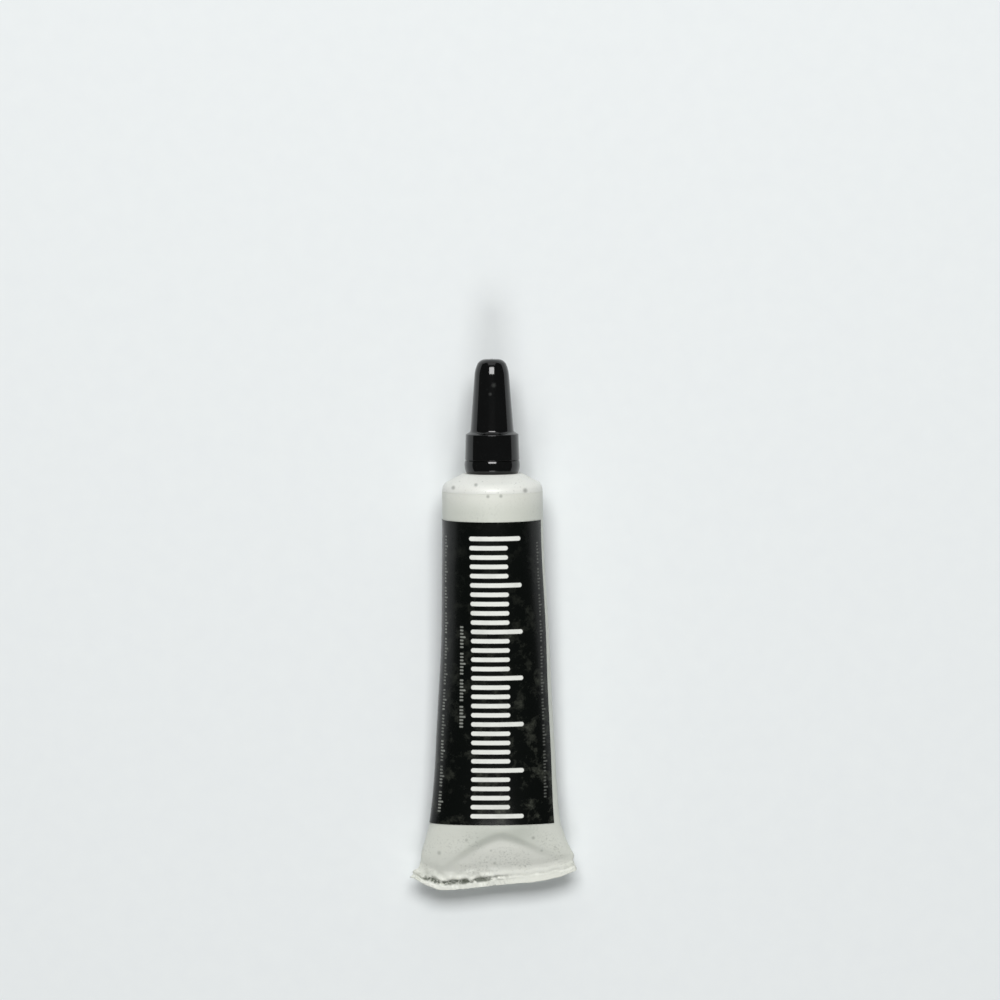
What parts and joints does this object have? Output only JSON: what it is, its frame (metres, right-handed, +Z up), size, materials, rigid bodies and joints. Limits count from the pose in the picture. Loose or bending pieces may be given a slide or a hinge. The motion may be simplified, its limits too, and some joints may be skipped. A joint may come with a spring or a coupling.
{
  "type": "graphite lock lubricant tube",
  "caption": "Small squeeze tube of dry graphite lubricant: soft white sleeve with a welded flat tail, dark wrapped label, and a nozzle under a tall screw cap.",
  "frame": {"origin": "on the table, under the middle of the outline of the tube as it lies on its back", "axes": "+Y along the tube from the welded tail to the cap, +Z up through the printed front, +X to the right seen from above with the cap away from the viewer"},
  "size_m": [0.0262, 0.0847, 0.0165],
  "materials": {
    "white_sleeve_plastic": "satin, soft low-density polyethylene",
    "white_head_plastic": "satin, moulded polyethylene",
    "black_nozzle_plastic": "glossy moulded polypropylene",
    "soft_washer_foam": "matt closed-cell foam",
    "black_cap_plastic": "glossy moulded polypropylene",
    "black_label_film": "satin printed film",
    "graphite_grey": "fine dry powder"
  },
  "bodies": {
    "tube": {"sleeve": "white_sleeve_plastic", "head": "white_head_plastic", "nozzle": "black_nozzle_plastic", "label": "black_label_film", "graphite_powder": "graphite_grey"},
    "washer": {"sealing_washer": "soft_washer_foam"},
    "cap": {"cap": "black_cap_plastic"}
  },
  "joints": [
    {"name": "cap_lift", "type": "slide", "parent": "tube", "child": "washer", "axis": [0, 0.9986, 0.0523], "range_m": [0, 0.0162]},
    {"name": "cap_turn", "type": "hinge", "parent": "washer", "child": "cap", "pos_m": [0, 0.02946, 0.00892], "axis": [0, 0.9986, 0.0523], "range_deg": [0, 3240]}
  ],
  "couplings": [
    {"joint": "cap_turn", "follows": "cap_lift", "rad_per_m": 3490.7}
  ]
}
